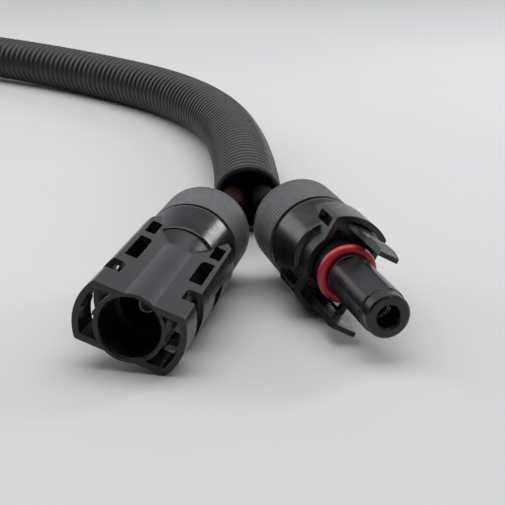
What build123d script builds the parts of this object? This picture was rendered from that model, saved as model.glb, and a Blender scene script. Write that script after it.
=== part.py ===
from build123d import *
import math
import os

# A pair of panel-lead connectors on two cables that come out of one corrugated loom.
# Millimetres. +Z is up and the whole pair lies on the plane Z = 0.
# Each connector is drawn on its own axes: X towards its latches, Y square to its flats,
# Z out of its front, with Z = 0 at the face its cap nut screws up to.

CABLE_R = 2.75            # outside of each cable's jacket

# ---- shape shared by both housings ----
BODY_R = 10.0             # rounded sides of the outline
FLAT_HALF = 5.7           # half the distance across the flats
WALL = 1.15               # outer wall of the housings
EDGE_ROUND = 0.45         # rounding of the four long corners
COLLAR_R = 9.35           # tapered collar in front of the cap nut
COLLAR_EDGE_R = 7.63      # its front edge, which stands on the flats
COLLAR_EDGE = 8.5
COLLAR_LEN = 2.6          # where the outline with the flats begins
SHOULDER_LEN = 2.2        # its rounded sides widen over this length
SPIGOT_R = 7.4            # threaded spigot that the cap nut runs on
SPIGOT_LEN = 10.0
SPIGOT_BORE_R = 6.55
SEAT_Z = -3.0             # shoulder that the cable seal bears on
CABLE_ROOM_R = SPIGOT_BORE_R - 2.15   # bore between the seal and the contact
WEB_BACK = 6.2            # web that carries the contact
WEB_ENTRY_R = 3.2
CLIP_BACK = 8.8           # recess that the retaining clip springs into
CLIP_ROOM_R = 3.6
LIP_BACK = 13.4           # lip that stops the contact's flange
LIP_FRONT = 14.0
LIP_R = 2.9

# ---- receptacle housing ----
MOUTH_Z = 38.2            # front face
BORE_R = 5.45             # front bore, which the plug's sealing ring seals in
DEEP_BORE_R = 4.75        # narrower bore behind it, around the contact pin
BARREL_R = 6.3            # outside of the barrel around that bore
BARREL_BACK = 13.6        # where it starts to stand above the flats
POCKET_BACK = 6.0         # far end of the latch pockets
WINDOWS = (               # windows in the flats: from here to here along X, then along Z
    (5.45, 7.5, 6.1, 11.9),
    (4.9, 7.35, 14.3, 24.3),
    (5.7, 8.1, 27.3, 31.8),
)
SIDE_WINDOW = (13.0, 19.0)
SIDE_WINDOW_HALF = 2.6
LATCH_GAP = (27.3, 31.8)  # gap in the sides that the latch hooks catch in
LATCH_GAP_IN = 7.6
RIB_HALF = 0.35           # guide ribs just inside the mouth
RIB_HIGH = 0.4
RIB_LEN = 5.2

# ---- plug housing ----
RIM_Z = 12.9              # rim of the skirt
SKIRT_FLOOR = 6.5
PLUG_WINDOW = (5.6, 7.45, 5.7, 11.5)
PLUG_BULGE_BACK = 8.8
NOSE_ROOT_R = 5.2
NOSE_R = 4.3
NOSE_TIP_R = 4.0
NOSE_TIP_LEN = 2.6
NOSE_END = 36.4
NOSE_FLAT_DEEP = 0.55     # depth of the four long flats on the nose
NOSE_BORE_R = 2.9
NOSE_HOLE_R = 2.1
NOSE_LIP = 0.85
RING_GROOVE_R = 3.85
RING_THICK_R = 0.95       # half the thickness of the sealing ring
RING_BACK = 15.5

# ---- latch arms ----
ARM_IN = 7.15
ARM_OUT = 8.5
ARM_HALF = 2.0
ARM_ROOT = 7.3            # hinge line
ARM_TIP = 26.4
HOOK_R = 8.85
HOOK_BACK = 20.2
HOOK_TOP = 21.4
HOOK_END = 8.2

# ---- cap nuts, clamp rings, seals ----
NUT_R = 9.4
NUT_GAP = 1.0             # open groove between nut and collar
NUT_FULL = 12.2           # where the full diameter ends, behind Z = 0
NUT_END = 15.4
NUT_TAIL_R = 6.4
NUT_HOLE_R = CABLE_R + 0.4
NUT_FLOOR = 12.6
CONE_TOP = 10.75          # cone that pushes on the clamp ring
CONE_END_R = 4.9
RIBS = 108                # grip ribs
RIB_DEEP = 0.15
RUN_GAP = 0.08            # radial clearance of the parts that turn or slide
CLAMP_SLOTS = 10
CLAMP_SLOT = 0.9
CLAMP_FRONT = 4.2
CLAMP_FLANGE_R = 7.3
CLAMP_HOLE_R = CABLE_R + 0.25
CLAMP_END = 12.5
SEAL_BACK = 9.8

# ---- contacts and cables ----
PIN_R = 2.0
PIN_END = 28.0
TIP_HOLE_R = 1.2          # blind hole in the pin's tip
TIP_HOLE_DEEP = 2.0
BORE_STEP_AHEAD = 0.3     # the front bore starts this far in front of the pin's tip
FLANGE_R = 3.15
CRIMP_R = 2.3
CRIMP_END = 7.6
CRIMP_START = 0.6
NECK_R = 2.2
CLIP_R = 3.5
SOCKET_R = 2.8
SOCKET_IN_R = 2.35
SOCKET_BACK = 19.0
SOCKET_GAP = 0.2          # between the socket's end and the nose's lip
CAGE_R = 2.08
CAGE = (21.0, 31.0)
CONDUCTOR_R = 1.25
JACKET_END = -1.0
CONDUCTOR_BACK = -12.0
STRAIGHT = 17.0           # the cable is straight from the nut's far travel inwards

# ---- corrugated loom ----
LOOM_R = 7.9
CABLE_APART = CABLE_R + 0.1           # each cable's distance from the middle of the loom
LOOM_BORE_R = CABLE_APART + CABLE_R + 0.5
TIE_THICK = 1.2
TIE_WIDE = 4.8
COIL_START_R = 101.0      # middle of the outermost turn where the loom joins the coil
COIL_STEP = 16.6          # from one turn to the next
COIL_TURNS = 2.33
COIL_HEADING = 58.0       # degrees, direction of the loom there, counted from +Y to -X
TAIL_RUNS = (13.0, 17.0, 17.0, 17.0, 13.0)   # straight runs of each bare cable end
TAIL_FALLS = (1.0, 0.62, 0.2, 0.0, 0.0)      # its height after each, from 1 in the loom to 0 on the ground
FERRULE_R = 3.1
FERRULE_LEN = 7.0
FERRULE_PIN = 12.0

# ---- how the two connectors and the loom lie ----
RECEPTACLE_AT = (-12.4, -3.1)
RECEPTACLE_YAW = -12.2    # degrees, 0 points to -Y, plus turns towards +X
RECEPTACLE_SPIN = -20.0   # degrees from level to the X axis of the connector
PLUG_AT = (12.7, -2.2)
PLUG_YAW = 16.4
PLUG_SPIN = 60.8
PLUG_PITCH = -2.9
LOOM_MOUTH = (-1.0, 39.0)
LOOM_CORNERS = ((-2.0, 98.0), (-20.0, 162.0), (-61.0, 213.0), (-108.0, 250.0))
LOOM_LAST_RUN = 57.0

nodes = {}


def rod(radius, low, high):
    """Solid cylinder on the Z axis."""
    return Pos(0, 0, low) * Cylinder(radius, high - low, align=(Align.CENTER, Align.CENTER, Align.MIN))


def block(x, y, z):
    """Box from three (low, high) pairs."""
    size = [high - low for low, high in (x, y, z)]
    middle = [(high + low) / 2 for low, high in (x, y, z)]
    return Pos(*middle) * Box(*size)


def turned(*profile):
    """Solid of revolution from (radius, z) points."""
    return revolve(Plane.XZ * make_face(Polyline(*profile, close=True)), Axis.Z)


def prism(sketch, low, high):
    return extrude(Pos(0, 0, low) * sketch, high - low)


def outline(shrink=0.0):
    """Rounded sides with two flats."""
    radius = BODY_R - shrink
    sketch = Circle(radius) & Rectangle(3 * radius, 2 * (FLAT_HALF - shrink))
    return fillet(sketch.vertices(), EDGE_ROUND)


def all_four(cutter):
    """A cutter drawn at +X +Y, repeated in all four corners."""
    pair = cutter + mirror(cutter, Plane.YZ)
    return pair + mirror(pair, Plane.XZ)


def rear_bores():
    return (
        rod(SPIGOT_BORE_R, -SPIGOT_LEN, SEAT_Z)
        + rod(CABLE_ROOM_R, SEAT_Z, WEB_BACK)
        + rod(WEB_ENTRY_R, WEB_BACK, CLIP_BACK)
        + rod(CLIP_ROOM_R, CLIP_BACK, LIP_BACK)
        + rod(LIP_R, LIP_BACK, LIP_FRONT)
    )


def flat_window(inner, outer, low, high):
    """Window through a flat, with its inner rear corner rounded."""
    sketch = Pos((inner + outer) / 2, (low + high) / 2) * Rectangle(outer - inner, high - low)
    corner = sketch.vertices().sort_by(Axis.Y)[:2].sort_by(Axis.X)[0]
    sketch = fillet(corner, 0.45 * (outer - inner))
    top = FLAT_HALF + 3
    depth = top - (FLAT_HALF - WALL - EDGE_ROUND)
    flat = Plane((0, top, 0), x_dir=(1, 0, 0), z_dir=(0, 1, 0))
    return extrude(flat * mirror(sketch, Plane.XZ), -depth)


def collar(foot_r, foot):
    """Tapered collar with a small step at its front edge and a ramp down from there."""
    step = 0.35
    return turned((0, 0), (COLLAR_R - 0.15, 0), (COLLAR_R, 0.15), (COLLAR_R, 0.6),
                  (COLLAR_EDGE_R + 0.15, COLLAR_EDGE - 0.3), (COLLAR_EDGE_R, COLLAR_EDGE),
                  (COLLAR_EDGE_R - step, COLLAR_EDGE + 0.1), (foot_r, foot), (0, foot))


def latch_rib(wall, inwards):
    """Guide rib on a wall of a latch pocket, just inside the mouth."""
    across = sorted((wall - inwards * 0.1, wall + inwards * RIB_HIGH))
    return block(across, (-RIB_HALF, RIB_HALF), (MOUTH_Z - RIB_LEN, MOUTH_Z))


def shell(front):
    """The outline with its flats, tapered at the back."""
    full = COLLAR_LEN + SHOULDER_LEN
    taper = turned((0, COLLAR_LEN), (COLLAR_R - 0.35, COLLAR_LEN), (BODY_R + 0.1, full),
                   (BODY_R + 0.1, front), (0, front))
    return prism(outline(), COLLAR_LEN, front) & taper


def receptacle_housing():
    solid = rod(SPIGOT_R, -SPIGOT_LEN, 0) + collar(BARREL_R - 0.45, BARREL_BACK)
    solid += shell(MOUTH_Z)
    solid += rod(BARREL_R, BARREL_BACK, MOUTH_Z)
    pockets = prism(outline(WALL) - Circle(BARREL_R), POCKET_BACK, MOUTH_Z)
    for side in (1, -1):
        pockets -= latch_rib(side * (BODY_R - WALL), -side)
        pockets -= latch_rib(side * BARREL_R, side)
    solid -= pockets
    for window in WINDOWS:
        solid -= all_four(flat_window(*window))
    gap = block((LATCH_GAP_IN, BODY_R + 1), (-BODY_R, BODY_R), LATCH_GAP)
    slot = block((BARREL_R + 0.6, BODY_R + 1), (-SIDE_WINDOW_HALF, SIDE_WINDOW_HALF), SIDE_WINDOW)
    for cutter in (gap, slot):
        solid -= cutter + mirror(cutter, Plane.YZ)
    step = PIN_END + BORE_STEP_AHEAD
    solid -= rear_bores() + rod(DEEP_BORE_R, LIP_FRONT, step) + rod(BORE_R, step, MOUTH_Z)
    solid -= turned((0, MOUTH_Z - 0.3), (BORE_R, MOUTH_Z - 0.3), (BORE_R + 0.3, MOUTH_Z), (0, MOUTH_Z))
    return solid


def nose():
    """Nose of the plug, with its ring groove and four long flats."""
    ring_front = RING_BACK + 2 * RING_THICK_R
    tip = NOSE_END - NOSE_TIP_LEN
    solid = rod(NOSE_ROOT_R, SKIRT_FLOOR, RING_BACK) + rod(RING_GROOVE_R, RING_BACK, ring_front)
    solid += turned((0, ring_front), (RING_GROOVE_R + 0.2, ring_front), (NOSE_R, ring_front + 0.3),
                    (NOSE_R, tip - 0.3), (NOSE_TIP_R, tip), (NOSE_TIP_R, NOSE_END - 0.4),
                    (NOSE_TIP_R - 0.4, NOSE_END), (0, NOSE_END))
    flat = block((NOSE_R - NOSE_FLAT_DEEP, NOSE_R + 1), (-NOSE_R, NOSE_R), (ring_front + 1, tip - 0.3))
    for quarter in range(4):
        solid -= Rot(0, 0, 45 + 90 * quarter) * flat
    return solid


def plug_housing():
    bulge_r = FLAT_HALF + 1.0
    solid = rod(SPIGOT_R, -SPIGOT_LEN, 0) + collar(bulge_r, PLUG_BULGE_BACK)
    solid += shell(RIM_Z)
    solid += rod(bulge_r, PLUG_BULGE_BACK, RIM_Z)
    cavity = outline(WALL) + Circle(bulge_r - WALL)
    solid -= prism(cavity, SKIRT_FLOOR, RIM_Z)
    solid -= all_four(flat_window(*PLUG_WINDOW))
    solid += nose()
    solid -= rear_bores() + rod(NOSE_BORE_R, LIP_FRONT, NOSE_END - NOSE_LIP)
    solid -= turned((0, LIP_FRONT), (NOSE_HOLE_R, LIP_FRONT), (NOSE_HOLE_R, NOSE_END - 0.3),
                    (NOSE_HOLE_R + 0.3, NOSE_END), (0, NOSE_END))
    return solid


def latch_arm():
    """Latch arm on the +X side, hinged about a line along Y at its root."""
    middle = (ARM_IN + ARM_OUT) / 2
    knuckle = (ARM_OUT - ARM_IN) / 2
    side = make_face(Polyline((ARM_IN, ARM_ROOT), (ARM_IN, ARM_TIP), (HOOK_END - 0.3, ARM_TIP),
                              (HOOK_END, ARM_TIP - 0.4), (HOOK_R, HOOK_TOP + 1.2), (HOOK_R, HOOK_TOP),
                              (ARM_OUT, HOOK_BACK), (ARM_OUT, ARM_ROOT), close=True))
    side += Pos(middle, ARM_ROOT) * Circle(knuckle)
    solid = extrude(Plane((0, -ARM_HALF, 0), x_dir=(1, 0, 0), z_dir=(0, -1, 0)) * side, -2 * ARM_HALF)
    return solid & (rod(ARM_OUT + 0.05, 0, HOOK_BACK) + rod(HOOK_R, HOOK_BACK, ARM_TIP + 1))


def sealing_ring():
    path_r = RING_GROOVE_R + RING_THICK_R
    return Pos(0, 0, RING_BACK + RING_THICK_R) * Torus(path_r, RING_THICK_R)


def cap_nut():
    """Cap nut with fine grip ribs, drawn screwed fully home."""
    solid = turned((0, -NUT_GAP), (NUT_R - 0.12, -NUT_GAP), (NUT_R, -NUT_GAP - 0.12), (NUT_R, -NUT_FULL),
                   (NUT_R - 0.8, -NUT_FULL - 1.1), (NUT_TAIL_R + 0.5, -NUT_END + 0.3),
                   (NUT_TAIL_R, -NUT_END), (0, -NUT_END))
    notch = Rot(0, 0, 45) * Rectangle(1.4 * RIB_DEEP, 1.4 * RIB_DEEP)
    grip = Sketch() + [place * notch for place in PolarLocations(NUT_R, RIBS)]
    solid -= prism(grip, -NUT_FULL + 0.5, -NUT_GAP - 0.4)
    bore = SPIGOT_R + RUN_GAP
    solid -= turned((0, 0), (bore, 0), (bore, -CONE_TOP), (CONE_END_R, -NUT_FLOOR),
                    (NUT_HOLE_R, -NUT_FLOOR), (NUT_HOLE_R, -NUT_END), (0, -NUT_END))
    return solid


def clamp_ring():
    """Ring of fingers that the nut's cone pushes in around the seal."""
    outer = SPIGOT_BORE_R - RUN_GAP
    inner = seal_r() + RUN_GAP
    flange = -SPIGOT_LEN - 0.2
    solid = turned((outer, -CLAMP_FRONT), (outer, flange), (CLAMP_FLANGE_R, flange),
                   (CLAMP_FLANGE_R, flange - 0.5), (CONE_END_R - 0.15, -CLAMP_END),
                   (CLAMP_HOLE_R, -CLAMP_END), (CLAMP_HOLE_R, flange - 0.4),
                   (inner, flange - 0.4), (inner, -CLAMP_FRONT))
    slot = block((0, BODY_R), (-CLAMP_SLOT / 2, CLAMP_SLOT / 2), (flange + 0.8, 0))
    for number in range(CLAMP_SLOTS):
        solid -= Rot(0, 0, number * 360 / CLAMP_SLOTS) * slot
    return solid


def seal_r():
    return SPIGOT_BORE_R - 1.3


def cable_seal():
    radius = seal_r()
    solid = rod(radius, -SEAL_BACK, SEAT_Z) - rod(CABLE_R, -SEAL_BACK, SEAT_Z)
    for middle in (-8.4, -6.4, -4.4):
        solid -= rod(radius, middle - 0.4, middle + 0.4) - rod(radius - 0.4, middle - 0.4, middle + 0.4)
    return solid


def contact(front):
    """Crimp barrel, neck and flange shared by both contacts, with the front part added."""
    low, high = CRIMP_START + 1.5, CRIMP_END - 1.5
    solid = rod(CRIMP_R, CRIMP_START, low) + rod(CRIMP_R, high, CRIMP_END)
    solid += prism(RegularPolygon(CRIMP_R, 6), low, high)
    solid += rod(NECK_R, CRIMP_END, LIP_BACK - 1.0) + rod(FLANGE_R, LIP_BACK - 1.0, LIP_BACK)
    solid += front
    return solid - rod(CONDUCTOR_R, CRIMP_START, CRIMP_END - 0.4)


def contact_pin():
    front = turned((0, LIP_BACK), (LIP_R - RUN_GAP, LIP_BACK), (LIP_R - RUN_GAP, LIP_FRONT + 0.6),
                   (PIN_R, LIP_FRONT + 1.2), (PIN_R, PIN_END - 1.2), (PIN_R - 0.2, PIN_END - 0.4),
                   (PIN_R - 0.5, PIN_END), (0, PIN_END))
    return contact(front) - rod(TIP_HOLE_R, PIN_END - TIP_HOLE_DEEP, PIN_END)


def contact_socket():
    end = NOSE_END - NOSE_LIP - SOCKET_GAP
    solid = contact(rod(SOCKET_R, LIP_BACK, end))
    solid -= rod(SOCKET_IN_R, SOCKET_BACK, end)
    for quarter in range(2):
        slot = block((-SOCKET_R, SOCKET_R), (-0.25, 0.25), (CAGE[1] + 0.5, end))
        solid -= Rot(0, 0, 90 * quarter) * slot
    return solid


def spring_cage():
    """Thin slotted sleeve inside the socket that grips a pin."""
    outer = SOCKET_IN_R - 0.02
    solid = rod(outer, *CAGE) - rod(CAGE_R, *CAGE)
    for number in range(8):
        slot = block((0, SOCKET_R), (-0.2, 0.2), (CAGE[0] + 1.2, CAGE[1] - 1.2))
        solid -= Rot(0, 0, 45 * number) * slot
    return solid


def retaining_clip():
    """Split sleeve on the contact's neck with two sprung barbs."""
    low, high = CLIP_BACK + 0.2, LIP_BACK - 1.2
    solid = rod(NECK_R + 0.4, low, high) - rod(NECK_R, low, high)
    barb = turned((NECK_R + 0.3, high), (NECK_R + 0.4, high), (CLIP_R, low + 0.5), (CLIP_R, low),
                  (NECK_R + 0.3, low))
    for across in ((0, BODY_R), (-BODY_R, 0)):
        solid += barb & block(across, (-1.1, 1.1), (low, high))
    return solid - block((-0.4, 0.4), (0, BODY_R), (low - 1, high + 1))


def conductor():
    return rod(CONDUCTOR_R, CONDUCTOR_BACK, CRIMP_END - 0.4)


def heading(degrees, pitch=0.0):
    """Unit vector, 0 points to -Y and plus turns towards +X."""
    yaw, rise = math.radians(degrees), math.radians(pitch)
    return Vector(math.sin(yaw) * math.cos(rise), -math.cos(yaw) * math.cos(rise), math.sin(rise))


def seat(at, height, yaw, pitch, spin):
    """Plane of a connector: its Z is the connector's axis, its X points to the latches."""
    axis = heading(yaw, pitch)
    level = heading(yaw + 90)
    upright = axis.cross(level)
    turn = math.radians(spin)
    x_dir = level * math.cos(turn) + upright * math.sin(turn)
    return Plane((*at, height), x_dir=x_dir, z_dir=axis)


def drop(spin):
    """How far the housing outline reaches below its axis."""
    turn = math.radians(spin)
    if BODY_R * abs(math.cos(turn)) <= FLAT_HALF:
        return BODY_R
    half_wide = math.sqrt(BODY_R ** 2 - FLAT_HALF ** 2)
    return half_wide * abs(math.sin(turn)) + FLAT_HALF * abs(math.cos(turn))


def receptacle_seat():
    """Lies on its nut and on one corner of its mouth."""
    pitch = -math.degrees(math.asin((NUT_R - drop(RECEPTACLE_SPIN)) / (MOUTH_Z + NUT_GAP)))
    return seat(RECEPTACLE_AT, NUT_R, RECEPTACLE_YAW, pitch, RECEPTACLE_SPIN)


def plug_seat():
    """Lies on the rim of its skirt, with the nut held just off the ground by its cable."""
    height = drop(PLUG_SPIN) - RIM_Z * math.sin(math.radians(PLUG_PITCH))
    return seat(PLUG_AT, height, PLUG_YAW, PLUG_PITCH, PLUG_SPIN)


def rounded(points):
    """Straight runs joined by tangent arcs."""
    corners = [Vector(*point) for point in points]
    radii = []
    for before, here, after in zip(corners, corners[1:], corners[2:]):
        first, second = here - before, after - here
        shorter = min(first.length, second.length)
        turn = math.radians(first.get_angle(second))
        radii.append(0.45 * shorter / math.tan(turn / 2))
    return FilletPolyline(*corners, radius=radii), radii


def sweep_round(radius, points, name):
    """Round bar along a route, with its radii and volume printed."""
    path, radii = rounded(points)
    section = Plane(origin=path @ 0, z_dir=path % 0) * Circle(radius)
    solid = sweep(section, path=path)
    ratio = solid.volume / (math.pi * radius ** 2 * path.length)
    print(name, "length", round(path.length, 1), "radii", [round(r, 1) for r in radii],
          "volume ratio", round(ratio, 4))
    return solid


def beside(points, distance):
    """A route moved sideways in plan: plus is to the left of the direction of travel."""
    corners = [Vector(*point) for point in points]
    normals = []
    for here, after in zip(corners, corners[1:]):
        run = after - here
        normals.append(Vector(-run.Y, run.X, 0).normalized())
    normals = [normals[0]] + normals + [normals[-1]]
    moved = []
    for corner, first, second in zip(corners, normals, normals[1:]):
        middle = (first + second).normalized()
        moved.append(corner + middle * (distance / middle.dot(first)))
    return [tuple(point) for point in moved]


def coil_point(radius, turns):
    """Point of the coil's plan, counted in turns from where the loom joins it."""
    angle = math.radians(COIL_HEADING) + 2 * math.pi * turns
    centre = coil_centre()
    return Vector(centre.X + radius * math.cos(angle), centre.Y + radius * math.sin(angle), 0)


def coil_join():
    """Where the loom joins the coil."""
    turn = math.radians(COIL_HEADING)
    last = LOOM_CORNERS[-1]
    return Vector(last[0] - LOOM_LAST_RUN * math.sin(turn), last[1] + LOOM_LAST_RUN * math.cos(turn), 0)


def coil_centre():
    turn = math.radians(COIL_HEADING)
    return coil_join() - Vector(math.cos(turn), math.sin(turn), 0) * COIL_START_R


def loom_route():
    join = coil_join()
    flat = [(x, y, LOOM_R) for x, y in (LOOM_MOUTH,) + LOOM_CORNERS[:-1]]
    lift = LOOM_R + TIE_THICK
    return flat + [(*LOOM_CORNERS[-1], lift), (join.X, join.Y, lift)]


def lead_route(plane, side):
    """From behind the cap nut into the loom's mouth and along it to the coil."""
    inside = beside(loom_route(), side * CABLE_APART)
    start = plane.from_local_coords((0, 0, -STRAIGHT))
    bend = plane.from_local_coords((0, 0, -STRAIGHT - 9.0))
    mouth = Vector(*inside[0])
    into = (Vector(*inside[1]) - mouth).normalized()
    return [tuple(start), tuple(bend), tuple(mouth - into * 1.5)] + inside[1:]


def lead(plane, side, name):
    """One cable: straight through the nut, then along its route."""
    solid = plane * rod(CABLE_R, -STRAIGHT, JACKET_END)
    solid += sweep_round(CABLE_R, lead_route(plane, side), name)
    return solid - plane * rod(CONDUCTOR_R, CONDUCTOR_BACK, JACKET_END)


def loom_tube():
    outer = sweep_round(LOOM_R, loom_route(), "loom")
    return outer - sweep_round(LOOM_BORE_R, loom_route(), "loom bore")


def turn_radius(turns):
    return COIL_START_R - COIL_STEP * turns


def loom_coil():
    """Outer shape of the flat coil, with a step where each end of the loom meets it."""
    steps = 144
    outer, inner = [], []
    for step in range(steps + 1):
        turns = step / steps
        outer.append(coil_point(turn_radius(turns) + LOOM_R, turns))
        late = COIL_TURNS - turns
        inner.append(coil_point(turn_radius(late) - LOOM_R, late))
    sketch = make_face(Polyline(*outer, close=True)) - make_face(Polyline(*inner, close=True))
    return extrude(Pos(0, 0, TIE_THICK) * sketch, 2 * LOOM_R)


def coil_ties():
    """Three straps around the turns of the coil."""
    result = Part()
    for turns in (0.50, 0.72, 0.94):
        low = turn_radius(turns + 1) - LOOM_R
        high = turn_radius(turns) + LOOM_R
        slack = 0.3
        hole = block((low - slack, high + slack), (-TIE_WIDE, TIE_WIDE),
                     (TIE_THICK, TIE_THICK + 2 * LOOM_R))
        strap = block((low - slack - TIE_THICK, high + slack + TIE_THICK), (-TIE_WIDE / 2, TIE_WIDE / 2),
                      (0, 2 * (LOOM_R + TIE_THICK)))
        centre = coil_centre()
        angle = COIL_HEADING + 360 * turns
        result += Pos(centre.X, centre.Y, 0) * Rot(0, 0, angle) * (strap - hole)
    return result


def tail_route(side):
    """From the far end of the loom down to the ground inside the coil."""
    point = coil_point(turn_radius(COIL_TURNS) - side * CABLE_APART, COIL_TURNS)
    height = LOOM_R + TIE_THICK
    course = math.radians(COIL_HEADING + 90) + 2 * math.pi * COIL_TURNS
    bend = math.radians(21.2 + 1.4 * side)
    route = [(point.X, point.Y, height)]
    for run, fall in zip(TAIL_RUNS, TAIL_FALLS):
        point += Vector(math.cos(course), math.sin(course), 0) * run * (1 - 0.06 * side)
        course += bend
        route.append((point.X, point.Y, CABLE_R + fall * (height - CABLE_R)))
    return route


def ferrule(points):
    """Collared ferrule on the end of a tail."""
    end, before = Vector(*points[-1]), Vector(*points[-2])
    plane = Plane(end, z_dir=end - before)
    solid = rod(FERRULE_R, 0, FERRULE_LEN)
    solid += rod(CONDUCTOR_R + 0.3, FERRULE_LEN, FERRULE_LEN + FERRULE_PIN)
    lift = max(0.0, FERRULE_R - CABLE_R)
    return Pos(0, 0, lift) * (plane * solid)


def add(name, solid, plane=None):
    nodes[name] = solid if plane is None else plane * solid


def build_receptacle():
    plane = receptacle_seat()
    add("receptacle_housing", receptacle_housing(), plane)
    add("receptacle_cap_nut", cap_nut(), plane)
    add("receptacle_clamp_ring", clamp_ring(), plane)
    add("receptacle_cable_seal", cable_seal(), plane)
    add("contact_pin", contact_pin(), plane)
    add("pin_retaining_clip", retaining_clip(), plane)
    add("receptacle_conductor", conductor(), plane)
    add("receptacle_lead", lead(plane, 1, "receptacle lead"))
    return plane


def build_plug():
    plane = plug_seat()
    add("plug_housing", plug_housing(), plane)
    add("latch_arm_upper", latch_arm(), plane)
    add("latch_arm_lower", Rot(0, 0, 180) * latch_arm(), plane)
    add("sealing_ring", sealing_ring(), plane)
    add("plug_cap_nut", cap_nut(), plane)
    add("plug_clamp_ring", clamp_ring(), plane)
    add("plug_cable_seal", cable_seal(), plane)
    add("contact_socket", contact_socket(), plane)
    add("socket_spring_cage", spring_cage(), plane)
    add("socket_retaining_clip", retaining_clip(), plane)
    add("plug_conductor", conductor(), plane)
    add("plug_lead", lead(plane, -1, "plug lead"))
    return plane


def build_loom():
    add("loom_tube", loom_tube())
    add("loom_coil", loom_coil())
    add("coil_ties", coil_ties())
    for side, name in ((1, "receptacle_tail"), (-1, "plug_tail")):
        route = tail_route(side)
        add(name, sweep_round(CABLE_R, route, name))
        add(name + "_ferrule", ferrule(route))


CORD_NODES = ("receptacle_lead", "plug_lead", "loom_tube", "loom_coil", "coil_ties", "receptacle_tail",
              "plug_tail", "receptacle_tail_ferrule", "plug_tail_ferrule")


def ground_shift():
    """Puts the origin on the ground under the middle of the two connectors."""
    boxes = [solid.bounding_box() for name, solid in nodes.items() if name not in CORD_NODES]
    x = (min(box.min.X for box in boxes) + max(box.max.X for box in boxes)) / 2
    y = (min(box.min.Y for box in boxes) + max(box.max.Y for box in boxes)) / 2
    return Vector(-x, -y, -min(box.min.Z for box in boxes))


def rounded_off(vector, places):
    return tuple(round(value, places) for value in vector)


def main():
    receptacle = build_receptacle()
    plug = build_plug()
    build_loom()
    shift = ground_shift()
    os.makedirs("parts", exist_ok=True)
    for name, solid in nodes.items():
        export_step(Pos(*shift) * solid, f"parts/{name}.step")
    print("shift", rounded_off(shift, 4))
    for name, plane in (("receptacle", receptacle), ("plug", plug)):
        print(name, "origin", rounded_off(plane.origin + shift, 4), "x", rounded_off(plane.x_dir, 6),
              "y", rounded_off(plane.y_dir, 6), "z", rounded_off(plane.z_dir, 6))


main()
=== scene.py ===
import math

import bpy
import numpy as np
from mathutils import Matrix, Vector


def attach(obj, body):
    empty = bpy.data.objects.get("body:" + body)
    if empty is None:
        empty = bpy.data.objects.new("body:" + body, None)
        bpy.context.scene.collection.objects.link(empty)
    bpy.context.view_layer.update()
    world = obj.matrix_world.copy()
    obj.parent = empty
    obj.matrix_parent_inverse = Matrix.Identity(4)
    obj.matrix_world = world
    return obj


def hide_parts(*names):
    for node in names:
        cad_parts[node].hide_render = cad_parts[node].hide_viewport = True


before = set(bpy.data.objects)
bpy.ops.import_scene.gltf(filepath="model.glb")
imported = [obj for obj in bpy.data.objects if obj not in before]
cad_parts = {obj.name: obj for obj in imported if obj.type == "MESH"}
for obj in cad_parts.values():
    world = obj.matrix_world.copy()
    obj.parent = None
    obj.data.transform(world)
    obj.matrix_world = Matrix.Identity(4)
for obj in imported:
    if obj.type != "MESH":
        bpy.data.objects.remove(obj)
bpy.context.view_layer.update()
MM = 0.001

# ---- places shared with the CAD, in millimetres before its ground shift ----
GROUND_SHIFT = (1.777, 14.0832, -0.0128)
LOOM_R = 7.9
LIFT = 9.1                # height of the loom's middle where it lies on the ties
LOOM_ROUTE = ((-1.0, 39.0, LOOM_R), (-2.0, 98.0, LOOM_R), (-20.0, 162.0, LOOM_R),
              (-61.0, 213.0, LOOM_R), (-108.0, 250.0, LIFT), (-156.34, 280.21, LIFT))
CABLE_R = 2.75
CABLE_APART = 2.85        # each cable's distance from the middle of the loom
COIL_START_R = 101.0      # middle of the outermost turn
COIL_STEP = 16.6          # from one turn to the next
COIL_TURNS = 2.33
COIL_HEADING = 58.0       # degrees, direction of the loom where it joins the coil
POINTS_PER_TURN = 16
TAIL_RUNS = (13.0, 17.0, 17.0, 17.0, 13.0)
TAIL_FALLS = (1.0, 0.62, 0.2, 0.0, 0.0)      # its height after each run, 0 on the ground
TAIL_BEND = 21.2          # degrees at each point, and how far each tail departs from it
TAIL_BEND_APART = 1.4
TAIL_SHORTER = 0.06
STRAIGHT_REACHES = (1.0, 9.0, 17.0, 26.0)   # its points on the connector's axis, before it bends
LEAD_STARTS = {"receptacle": ((-12.4, -3.1, 9.4), (-0.21122, -0.976932, -0.031468)),
               "plug": ((12.7, -2.2, 10.6526), (0.28198, -0.958085, -0.050593))}
FLOOR_TONES = ((0.63, 0.63, 0.635), (0.66, 0.66, 0.662))

# ---- the cables' jackets, painted dark in main() as shade, since little light reaches them ----
JACKET_GLOSS = (0.5, 0.7)
JACKET_SPECULAR = 0.06

# ---- camera, in millimetres and degrees before the ground shift ----
CAMERA_AT = (0.0, -218.0, 80.56)
CAMERA_TILT = 71.59       # 90 is level
LENS = 82.53

# ---- strengths of the light, in watts but for the room ----
ROOM = 0.8
OVERHEAD = 7.6
RIGHT = 1.0
LEFT = 1.0

# ---- sizes of the corrugations ----
PITCH = 2.95
VALLEY_R = 7.0
LOOM_BORE_R = 6.8
STEEPNESS = 2.4           # of the flanks
FINE_LENGTH = 0.24        # metres of the loom, from its mouth, that lie in view
FINE_STEPS = 14           # rings of vertices to each corrugation in view
COARSE_STEPS = 8          # and beyond it
BORE_RINGS = 420
RING_SEGMENTS = 48


def shifted(point):
    """A point of the CAD's own millimetres, in metres in the row frame."""
    return (Vector(point) + Vector(GROUND_SHIFT)) * MM


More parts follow.
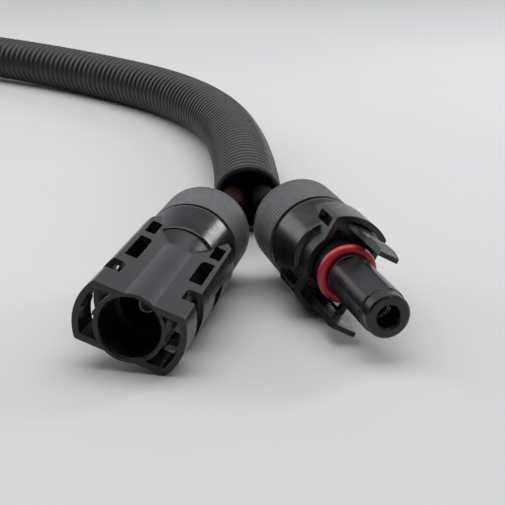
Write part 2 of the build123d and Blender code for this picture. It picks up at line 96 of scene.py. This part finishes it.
# ---------------------------------------------------------------- camera
def add_camera():
    """Stands 218 mm in front of the CAD's origin and 80.6 mm up, looking 18.4 degrees down."""
    data = bpy.data.cameras.new("camera")
    data.sensor_width = 36.0
    data.lens = LENS
    data.clip_start = 0.01
    data.clip_end = 20.0
    camera = bpy.data.objects.new("camera", data)
    camera.location = shifted(CAMERA_AT)
    camera.rotation_euler = (math.radians(CAMERA_TILT), 0.0, 0.0)
    bpy.context.scene.collection.objects.link(camera)
    bpy.context.scene.camera = camera


# ---------------------------------------------------------------- cords
def coil_points(side):
    """The coil's turns, spiralling in; side moves a cable off the loom's middle."""
    turn = math.radians(COIL_HEADING)
    join = Vector(LOOM_ROUTE[-1])
    centre = join - Vector((math.cos(turn), math.sin(turn), 0)) * COIL_START_R
    points = []
    for step in range(1, round(COIL_TURNS * POINTS_PER_TURN) + 1):
        turns = min(step / POINTS_PER_TURN, COIL_TURNS)
        angle = turn + 2 * math.pi * turns
        radius = COIL_START_R - COIL_STEP * turns - side * CABLE_APART
        points.append((centre.x + radius * math.cos(angle), centre.y + radius * math.sin(angle), LIFT))
    return points


def beside(points, distance):
    """A route moved sideways in plan: plus is to the left of the direction of travel."""
    corners = [Vector(point) for point in points]
    normals = []
    for here, after in zip(corners, corners[1:]):
        run = after - here
        normals.append(Vector((-run.y, run.x, 0)).normalized())
    normals = [normals[0]] + normals + [normals[-1]]
    moved = []
    for corner, first, second in zip(corners, normals, normals[1:]):
        middle = (first + second).normalized()
        moved.append(corner + middle * (distance / middle.dot(first)))
    return moved


def tail_points(last, side):
    """From the coil's inner end down to the ground inside it."""
    point = Vector(last)
    course = math.radians(COIL_HEADING + 90) + 2 * math.pi * COIL_TURNS
    bend = math.radians(TAIL_BEND + TAIL_BEND_APART * side)
    points = []
    for run, fall in zip(TAIL_RUNS, TAIL_FALLS):
        point = point + Vector((math.cos(course), math.sin(course), 0)) * run * (1 - TAIL_SHORTER * side)
        course += bend
        points.append((point.x, point.y, CABLE_R + fall * (LIFT - CABLE_R)))
    return points


def nurbs(name, points):
    """An open NURBS spline through the route's own points, used as control points."""
    data = bpy.data.curves.new(name, "CURVE")
    data.dimensions = "3D"
    data.resolution_u = 16
    spline = data.splines.new("NURBS")
    spline.points.add(len(points) - 1)
    for target, point in zip(spline.points, points):
        target.co = (*shifted(point), 1.0)
        target.radius = CABLE_R * MM
    spline.order_u = 3
    spline.use_endpoint_u = True
    curve = bpy.data.objects.new(name, data)
    bpy.context.scene.collection.objects.link(curve)
    return curve


def line_of(curve):
    """Points along a curve that has no bevel, in order."""
    mesh = bpy.data.meshes.new_from_object(curve)
    line = np.array([vertex.co for vertex in mesh.vertices])
    bpy.data.meshes.remove(mesh)
    return line


def stations(line, distances):
    """Places and tangents at the given distances along a line."""
    lengths = np.concatenate(([0.0], np.cumsum(np.linalg.norm(np.diff(line, axis=0), axis=1))))
    places = np.stack([np.interp(distances, lengths, line[:, k]) for k in range(3)], axis=1)
    ahead = np.gradient(places, axis=0)
    return places, ahead / np.linalg.norm(ahead, axis=1)[:, None]


def rings(places, tangents, radii, segments):
    """Circles of vertices round a nearly level line."""
    side = np.cross(tangents, (0.0, 0.0, 1.0))
    side /= np.linalg.norm(side, axis=1)[:, None]
    up = np.cross(side, tangents)
    angles = np.arange(segments) * 2 * math.pi / segments
    circle = np.cos(angles)[None, :, None] * side[:, None, :] + np.sin(angles)[None, :, None] * up[:, None, :]
    return places[:, None, :] + circle * radii[:, None, None]


def skin(count, segments, start=0, inward=False):
    """Quads between neighbouring rings of vertices."""
    faces = []
    for ring in range(count - 1):
        low = start + ring * segments
        for k in range(segments):
            after = (k + 1) % segments
            quad = (low + k, low + after, low + segments + after, low + segments + k)
            faces.append(quad if inward else quad[::-1])
    return faces


def mesh_object(name, vertices, faces, smooth=True):
    mesh = bpy.data.meshes.new(name)
    mesh.from_pydata([tuple(v) for v in vertices], [], faces)
    mesh.polygons.foreach_set("use_smooth", [smooth] * len(mesh.polygons))
    mesh.update()
    piece = bpy.data.objects.new(name, mesh)
    bpy.context.scene.collection.objects.link(piece)
    return piece


def corrugation(phase):
    """Radius of the outer skin: flat crests and valleys with steep flanks between them."""
    wave = np.tanh(STEEPNESS * np.cos(2 * math.pi * phase)) / math.tanh(STEEPNESS)
    return (VALLEY_R + (LOOM_R - VALLEY_R) * (0.5 + 0.5 * wave)) * MM


def loom():
    """Corrugated tube with a plain bore, finer over the stretch that lies in view."""
    route = nurbs("loom_route", list(LOOM_ROUTE) + coil_points(0))
    line = line_of(route)
    bpy.data.objects.remove(route)
    length = float(np.linalg.norm(np.diff(line, axis=0), axis=1).sum())
    pitch = PITCH * MM
    fine = np.arange(0.0, FINE_LENGTH, pitch / FINE_STEPS)
    step = pitch / COARSE_STEPS
    coarse = np.arange(fine[-1] + step, length - step, step)
    distances = np.concatenate((fine, coarse, [length]))
    places, tangents = stations(line, distances)
    outer = rings(places, tangents, corrugation(distances / pitch), RING_SEGMENTS)
    inner_at = np.linspace(0.0, length, BORE_RINGS)
    inner_places, inner_tangents = stations(line, inner_at)
    bore = np.full(len(inner_at), LOOM_BORE_R * MM)
    inner = rings(inner_places, inner_tangents, bore, RING_SEGMENTS)
    vertices = np.concatenate((outer.reshape(-1, 3), inner.reshape(-1, 3)))
    first_inner = len(outer) * RING_SEGMENTS
    faces = skin(len(outer), RING_SEGMENTS) + skin(len(inner), RING_SEGMENTS, first_inner, inward=True)
    last_outer, last_inner = first_inner - RING_SEGMENTS, len(vertices) - RING_SEGMENTS
    for k in range(RING_SEGMENTS):
        after = (k + 1) % RING_SEGMENTS
        faces.append((k, after, first_inner + after, first_inner + k))
        faces.append((last_outer + after, last_outer + k, last_inner + k, last_inner + after))
    piece = mesh_object("corrugated_loom", vertices, faces)
    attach(piece, "pair")
    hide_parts("loom_tube", "loom_coil")
    return piece


def lead(which, side):
    """One whole cable, from its crimp through the loom and the coil to its ferrule."""
    start, axis = (Vector(v) for v in LEAD_STARTS[which])
    inside = beside(LOOM_ROUTE, side * CABLE_APART)
    into = (inside[1] - inside[0]).normalized()
    points = [start - axis * reach for reach in STRAIGHT_REACHES]
    points += [inside[0] - into * 1.5] + inside[1:] + coil_points(side)
    points += tail_points(points[-1], side)
    piece = nurbs(which + "_cable", points)
    piece.data.bevel_depth = 1.0
    piece.data.bevel_resolution = 7
    piece.data.use_fill_caps = True
    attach(piece, "pair")
    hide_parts(which + "_lead", which + "_tail")
    return piece


# ---------------------------------------------------------------- materials
def start(name, roughness, metallic=0.0, specular=0.5):
    """A new material: its node tree and its Principled shader."""
    made = bpy.data.materials.new(name)
    made.use_nodes = True
    shader = made.node_tree.nodes["Principled BSDF"]
    shader.inputs["Roughness"].default_value = roughness
    shader.inputs["Metallic"].default_value = metallic
    shader.inputs["Specular IOR Level"].default_value = specular
    return made, made.node_tree, shader


def noise(tree, size, detail=3.0, stretch=(1.0, 1.0, 1.0)):
    """Noise whose grain is about this many metres across."""
    place = tree.nodes.new("ShaderNodeTexCoord")
    scaled = tree.nodes.new("ShaderNodeMapping")
    scaled.inputs["Scale"].default_value = stretch
    grain = tree.nodes.new("ShaderNodeTexNoise")
    grain.inputs["Scale"].default_value = 1.0 / size
    grain.inputs["Detail"].default_value = detail
    tree.links.new(place.outputs["Object"], scaled.inputs["Vector"])
    tree.links.new(scaled.outputs["Vector"], grain.inputs["Vector"])
    return grain.outputs["Fac"]


def spread(tree, source, low, high, start_at=0.3, end_at=0.7):
    """Stretches a value's middle range to run from low to high."""
    node = tree.nodes.new("ShaderNodeMapRange")
    node.inputs["From Min"].default_value = start_at
    node.inputs["From Max"].default_value = end_at
    node.inputs["To Min"].default_value = low
    node.inputs["To Max"].default_value = high
    tree.links.new(source, node.inputs["Value"])
    return node.outputs["Result"]


def blended(tree, amount, first, second):
    """Colour that goes from first to second; either may be a colour or a socket."""
    node = tree.nodes.new("ShaderNodeMix")
    node.data_type = "RGBA"
    tree.links.new(amount, node.inputs["Factor"])
    for socket, value in zip((node.inputs[6], node.inputs[7]), (first, second)):
        if isinstance(value, tuple):
            socket.default_value = (*value, 1.0)
        else:
            tree.links.new(value, socket)
    return node.outputs[2]


def bumped(tree, height, strength, depth, normal=None):
    """Normal roughened by a height value, depth in metres."""
    node = tree.nodes.new("ShaderNodeBump")
    node.inputs["Strength"].default_value = strength
    node.inputs["Distance"].default_value = depth
    tree.links.new(height, node.inputs["Height"])
    if normal:
        tree.links.new(normal, node.inputs["Normal"])
    return node.outputs["Normal"]


def edges(tree, radius):
    """Normal rounded over the sharp edges, and a mask that is 1 along them."""
    bevel = tree.nodes.new("ShaderNodeBevel")
    bevel.samples = 6
    bevel.inputs["Radius"].default_value = radius
    flat = tree.nodes.new("ShaderNodeNewGeometry")
    dot = tree.nodes.new("ShaderNodeVectorMath")
    dot.operation = "DOT_PRODUCT"
    tree.links.new(bevel.outputs["Normal"], dot.inputs[0])
    tree.links.new(flat.outputs["Normal"], dot.inputs[1])
    return bevel.outputs["Normal"], spread(tree, dot.outputs["Value"], 0.0, 1.0, 0.985, 0.88)


def moulded(name, dark, light, highlight_tone, gloss, grain=0.00012, depth=0.000006, edge=0.00022, specular=0.5):
    """Moulded plastic: spark-eroded grain, cloudy gloss, and a painted highlight that makes its sharp edges a
    shade lighter.
    """
    made, tree, shader = start(name, gloss[1], specular=specular)
    rounded, mask = edges(tree, edge)
    clouds = spread(tree, noise(tree, 0.006, 4.0), 0.0, 1.0)
    fine = noise(tree, grain, 2.0)
    body = blended(tree, clouds, dark, light)
    # painted highlight: sharp edges are blended toward a lighter tone, broken up by noise
    painted_highlight = tree.nodes.new("ShaderNodeMath")
    painted_highlight.operation = "MULTIPLY"
    tree.links.new(mask, painted_highlight.inputs[0])
    tree.links.new(spread(tree, noise(tree, 0.0015, 3.0), 0.35, 1.0), painted_highlight.inputs[1])
    tree.links.new(blended(tree, painted_highlight.outputs["Value"], body, highlight_tone), shader.inputs["Base Color"])
    tree.links.new(spread(tree, noise(tree, 0.0025, 5.0), *gloss), shader.inputs["Roughness"])
    tree.links.new(bumped(tree, fine, 0.35, depth, rounded), shader.inputs["Normal"])
    return made


def rubber(name, dark, light, gloss, grain=0.0005, depth=0.00002, specular=0.4):
    """Extruded or moulded rubber: soft mottling, fine drag marks and a little bloom."""
    made, tree, shader = start(name, gloss[1], specular=specular)
    body = blended(tree, spread(tree, noise(tree, 0.009, 3.0), 0.0, 1.0), dark, light)
    dust = spread(tree, noise(tree, 0.0009, 6.0), 0.0, 0.16, 0.55, 0.75)
    pale = tuple(1.6 * channel + 0.004 for channel in light)
    tree.links.new(blended(tree, dust, body, pale), shader.inputs["Base Color"])
    tree.links.new(spread(tree, noise(tree, 0.004, 4.0), *gloss), shader.inputs["Roughness"])
    tree.links.new(bumped(tree, noise(tree, grain, 3.0), 0.4, depth), shader.inputs["Normal"])
    return made


def metal(name, dark, light, gloss, grain=0.0003, stretch=(1.0, 1.0, 1.0), depth=0.000004):
    """Plated or drawn metal: faint staining, tool marks, and a painted highlight that lightens its sharp
    edges.
    """
    made, tree, shader = start(name, gloss[1], metallic=1.0)
    rounded, mask = edges(tree, 0.00018)
    stained = blended(tree, spread(tree, noise(tree, 0.0022, 5.0), 0.0, 1.0), dark, light)
    # painted highlight: sharp edges take a lighter copy of the stained colour
    bright = tuple(min(1.0, channel * 1.25) for channel in light)
    tree.links.new(blended(tree, mask, stained, bright), shader.inputs["Base Color"])
    tree.links.new(spread(tree, noise(tree, 0.0012, 4.0), *gloss), shader.inputs["Roughness"])
    marks = noise(tree, grain, 2.0, stretch)
    tree.links.new(bumped(tree, marks, 0.3, depth, rounded), shader.inputs["Normal"])
    return made


def strands(name):
    """Tinned copper strands laid along the wire, seen at its cut end."""
    made, tree, shader = start(name, 0.4, metallic=1.0)
    place = tree.nodes.new("ShaderNodeTexCoord")
    cells = tree.nodes.new("ShaderNodeTexVoronoi")
    cells.inputs["Scale"].default_value = 3200.0
    tree.links.new(place.outputs["Object"], cells.inputs["Vector"])
    gaps = spread(tree, cells.outputs["Distance"], 1.0, 0.0, 0.25, 0.6)
    tree.links.new(blended(tree, gaps, (0.16, 0.1, 0.06), (0.72, 0.66, 0.56)), shader.inputs["Base Color"])
    tree.links.new(spread(tree, noise(tree, 0.001, 3.0), 0.3, 0.5), shader.inputs["Roughness"])
    tree.links.new(bumped(tree, gaps, 0.6, 0.00012), shader.inputs["Normal"])
    return made


def floor_sheet():
    """Matt pale card with a very faint mottle."""
    made, tree, shader = start("floor_card", 0.7, specular=0.25)
    tone = spread(tree, noise(tree, 0.18, 2.0), 0.0, 1.0)
    tree.links.new(blended(tree, tone, FLOOR_TONES[0], FLOOR_TONES[1]), shader.inputs["Base Color"])
    tree.links.new(bumped(tree, noise(tree, 0.0006, 3.0), 0.15, 0.00003), shader.inputs["Normal"])
    return made


def give(piece, made):
    piece.data.materials.clear()
    piece.data.materials.append(made)


def dress(nodes, made):
    """Puts a material on CAD nodes through their objects' slots."""
    for name in nodes:
        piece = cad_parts[name]
        for slot in piece.material_slots:
            slot.link = "OBJECT"
            slot.material = made


def dress_all():
    # the third colour given to each moulded() material is its painted edge highlight
    housing = moulded("housing_plastic", (0.008, 0.008, 0.01), (0.014, 0.015, 0.018), (0.06, 0.06, 0.066),
                      (0.2, 0.32), grain=0.00016, depth=0.000004, specular=0.45)
    dress(("receptacle_housing", "plug_housing", "latch_arm_upper", "latch_arm_lower"), housing)
    nut = moulded("nut_plastic", (0.064, 0.064, 0.068), (0.09, 0.09, 0.095), (0.16, 0.16, 0.165),
                  (0.36, 0.5), grain=0.0002, depth=0.00001)
    dress(("receptacle_cap_nut", "plug_cap_nut"), nut)
    inner = moulded("inner_plastic", (0.022, 0.022, 0.023), (0.034, 0.034, 0.035), (0.08, 0.08, 0.08),
                    (0.42, 0.6))
    dress(("receptacle_clamp_ring", "plug_clamp_ring"), inner)
    dress(("receptacle_cable_seal", "plug_cable_seal"),
          rubber("seal_rubber", (0.05, 0.05, 0.054), (0.085, 0.085, 0.09), (0.55, 0.75)))
    dress(("sealing_ring",), rubber("ring_silicone", (0.44, 0.018, 0.025), (0.62, 0.035, 0.045), (0.26, 0.38),
                                    grain=0.0003, depth=0.000008, specular=0.5))
    dress(("contact_pin", "contact_socket"),
          metal("tin_plating", (0.24, 0.235, 0.22), (0.42, 0.41, 0.39), (0.22, 0.38)))
    dress(("pin_retaining_clip", "socket_retaining_clip", "socket_spring_cage"),
          metal("spring_steel", (0.45, 0.45, 0.46), (0.6, 0.6, 0.62), (0.22, 0.34), stretch=(1.0, 0.12, 1.0)))
    dress(("receptacle_conductor", "plug_conductor"), strands("tinned_strands"))
    dress(("coil_ties",), moulded("tie_nylon", (0.02, 0.02, 0.021), (0.032, 0.032, 0.033), (0.09, 0.09, 0.09),
                                  (0.34, 0.48)))
    dress(("receptacle_tail_ferrule",), moulded("ferrule_red", (0.3, 0.012, 0.012), (0.42, 0.02, 0.02),
                                                (0.5, 0.1, 0.1), (0.3, 0.42)))
    dress(("plug_tail_ferrule",), moulded("ferrule_black", (0.015, 0.015, 0.016), (0.026, 0.026, 0.027),
                                          (0.08, 0.08, 0.08), (0.3, 0.42)))


# ---------------------------------------------------------------- stage
def add_floor():
    bpy.ops.mesh.primitive_plane_add(size=6.0, location=(0.0, 1.0, 0.0))
    floor = bpy.context.object
    floor.name = "floor"
    give(floor, floor_sheet())


def area_light(name, location, target, size, power, colour=(1.0, 1.0, 1.0)):
    data = bpy.data.lights.new(name, "AREA")
    data.shape = "RECTANGLE"
    data.size, data.size_y = size
    data.energy = power
    data.color = colour
    light = bpy.data.objects.new(name, data)
    light.location = location
    light.rotation_euler = (Vector(target) - Vector(location)).to_track_quat("-Z", "Y").to_euler()
    bpy.context.scene.collection.objects.link(light)


def add_studio():
    """Room light: bright behind and above, dark on the camera's side."""
    world = bpy.data.worlds.new("studio")
    bpy.context.scene.world = world
    world.use_nodes = True
    tree = world.node_tree
    background = tree.nodes["Background"]
    background.inputs["Color"].default_value = (0.95, 0.97, 1.0, 1.0)
    way = tree.nodes.new("ShaderNodeTexCoord")
    split = tree.nodes.new("ShaderNodeSeparateXYZ")
    tree.links.new(way.outputs["Generated"], split.inputs["Vector"])
    dim = tree.nodes.new("ShaderNodeMath")
    dim.operation = "MULTIPLY"
    tree.links.new(spread(tree, split.outputs["Y"], 0.06, ROOM, -0.35, 0.55), dim.inputs[0])
    tree.links.new(spread(tree, split.outputs["Z"], 1.0, 0.4, 0.35, 0.8), dim.inputs[1])
    tree.links.new(dim.outputs["Value"], background.inputs["Strength"])


def add_light():
    add_studio()
    area_light("overhead", (0.0, 0.08, 0.85), (0.0, 0.08, 0.0), (1.3, 0.8), OVERHEAD)
    area_light("back_right", (0.47, 0.36, 0.28), (0.0, 0.0, 0.01), (0.14, 0.22), RIGHT)
    area_light("left", (-0.62, 0.32, 0.4), (0.0, 0.0, 0.01), (0.35, 0.35), LEFT)
    bpy.context.scene.view_settings.view_transform = "Standard"


def main():
    add_camera()
    looms = loom()
    red = lead("receptacle", 1)
    black = lead("plug", -1)
    # the loom's third colour is its painted edge highlight
    give(looms, moulded("loom_plastic", (0.016, 0.016, 0.017), (0.026, 0.026, 0.027), (0.05, 0.05, 0.05),
                        (0.34, 0.46)))
    # painted shade: the red jacket's colour is darkened almost to black
    give(red, rubber("red_jacket", (0.012, 0.0008, 0.001), (0.02, 0.0012, 0.0014), JACKET_GLOSS,
                     specular=JACKET_SPECULAR))
    # the black jacket's own black, darkened further as painted shade
    give(black, rubber("black_jacket", (0.002, 0.002, 0.0022), (0.004, 0.004, 0.0044), JACKET_GLOSS,
                       specular=JACKET_SPECULAR))
    dress_all()
    add_floor()
    add_light()


main()
bpy.context.view_layer.update()
